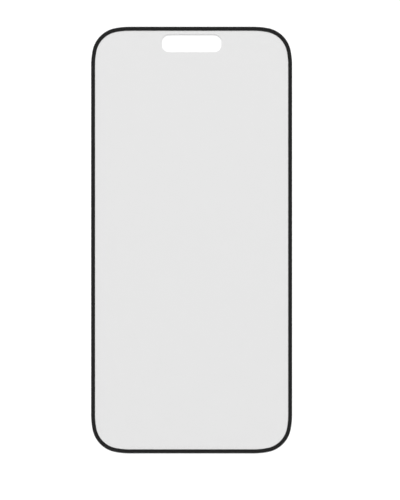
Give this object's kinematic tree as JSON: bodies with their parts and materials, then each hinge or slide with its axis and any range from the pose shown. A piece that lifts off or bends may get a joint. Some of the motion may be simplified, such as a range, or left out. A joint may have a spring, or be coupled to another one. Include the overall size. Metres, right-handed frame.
{
  "type": "phone screen protector",
  "caption": "Thin clear tempered-glass sheet with softly rounded corners, a slim black border and a pill-shaped camera cut-out, which sticks over a phone's display.",
  "frame": {"origin": "middle of the back face, in the plane that lies on the display", "axes": "seen from the front, +X to the right and +Y towards the end with the camera cut-out; +Z out of the front face"},
  "size_m": [0.068, 0.1442, 0.0004],
  "materials": {
    "tempered_glass": "polished and clear, with a faint neutral grey cast",
    "black_ink": "even black print, seen through the glass"
  },
  "bodies": {
    "root": {"glass_pane": "tempered_glass", "black_border": "black_ink"}
  },
  "joints": []
}
